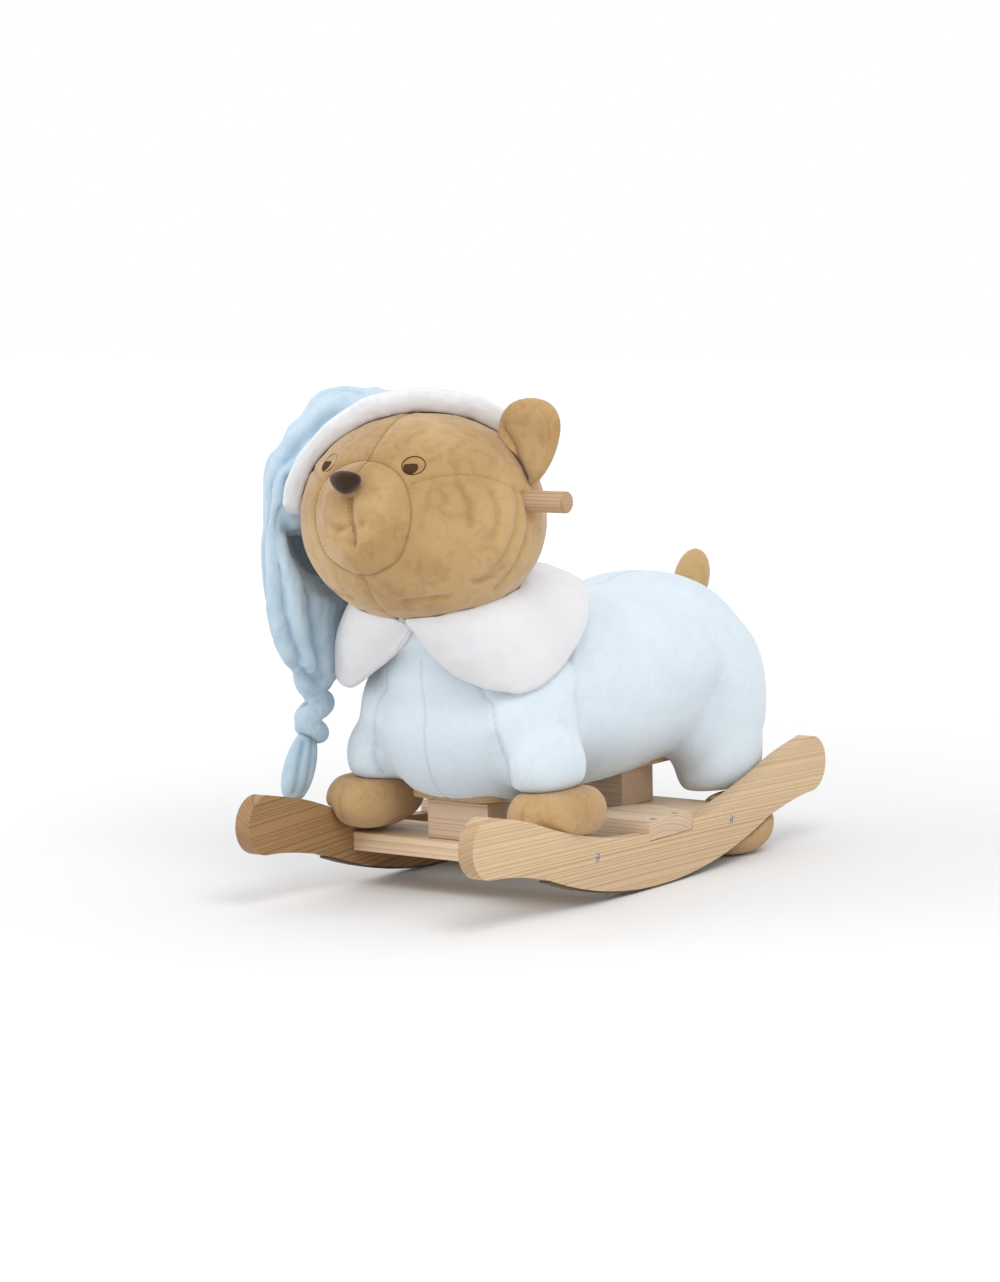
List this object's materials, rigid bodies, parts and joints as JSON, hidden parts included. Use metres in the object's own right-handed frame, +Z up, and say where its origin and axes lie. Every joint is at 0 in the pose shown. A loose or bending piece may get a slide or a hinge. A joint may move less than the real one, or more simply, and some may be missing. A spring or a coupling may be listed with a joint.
{
  "type": "rocking plush bear",
  "caption": "Toddler rocker: a stuffed bear in a sleepsuit and long nightcap on two wooden rockers with a footrest and a dowel handle.",
  "frame": {"origin": "on the floor under the middle of the outer box; the rockers' middle plane is 5.5 mm further along +X, because the cap hangs out to -X", "axes": "+Z up, the bear faces -Y, +X is the bear's left"},
  "size_m": [0.355, 0.688, 0.543],
  "materials": {
    "pine": "clear satin lacquer over pale straight-grained softwood",
    "inner_pine": "bare sawn softwood, darker and unlacquered",
    "felt": "dense needled felt strip",
    "steel": "zinc-plated, cross recess",
    "blue_plush": "short-pile pale blue velour over stuffing",
    "cap_plush": "short-pile blue velour, unstuffed",
    "white_plush": "short-pile white velour",
    "velour": "tan velour over stuffing, seams sewn in",
    "paw_plush": "golden tan pile over stuffing",
    "nose_velvet": "dark brown velvet"
  },
  "bodies": {
    "root": {"left_rocker": "pine", "right_rocker": "pine", "front_cross_board": "pine", "rear_cross_board": "pine", "footrest_plank": "pine", "handle_dowel": "pine", "front_support_block": "inner_pine", "rear_support_block": "inner_pine", "seat_board": "inner_pine", "head_post": "inner_pine", "left_glide_strip": "felt", "right_glide_strip": "felt", "rocker_screw_left_front": "steel", "rocker_screw_left_rear": "steel", "rocker_screw_right_front": "steel", "rocker_screw_right_rear": "steel", "footrest_screw_left_front": "steel", "footrest_screw_left_rear": "steel", "footrest_screw_right_front": "steel", "footrest_screw_right_rear": "steel", "block_screw_left_front": "steel", "block_screw_left_rear": "steel", "block_screw_right_front": "steel", "block_screw_right_rear": "steel", "post_screw_front": "steel", "post_screw_rear": "steel", "dowel_lock_screw": "steel", "underside_cover": "blue_plush", "torso": "blue_plush", "left_sleeve": "blue_plush", "right_sleeve": "blue_plush", "left_thigh": "blue_plush", "right_thigh": "blue_plush", "left_front_paw": "paw_plush", "right_front_paw": "paw_plush", "left_rear_foot": "paw_plush", "right_rear_foot": "paw_plush", "tail": "paw_plush", "neck": "velour", "head": "velour", "muzzle": "velour", "left_ear": "velour", "right_ear": "velour", "nose": "nose_velvet", "left_collar": "white_plush", "right_collar": "white_plush", "cap_brim": "white_plush", "cap_crown": "cap_plush"},
    "cap_fall": {"cap_tail": "cap_plush"},
    "cap_end": {"cap_knot": "cap_plush", "cap_tip": "cap_plush"}
  },
  "joints": [
    {"name": "cap_fall_swing", "type": "hinge", "parent": "root", "child": "cap_fall", "pos_m": [-0.1505, -0.193, 0.478], "axis": [0, 1, 0], "range_deg": [0, 40]},
    {"name": "cap_end_swing", "type": "hinge", "parent": "cap_fall", "child": "cap_end", "pos_m": [-0.1505, -0.2, 0.222], "axis": [1, 0, 0], "range_deg": [-35, 5]}
  ]
}
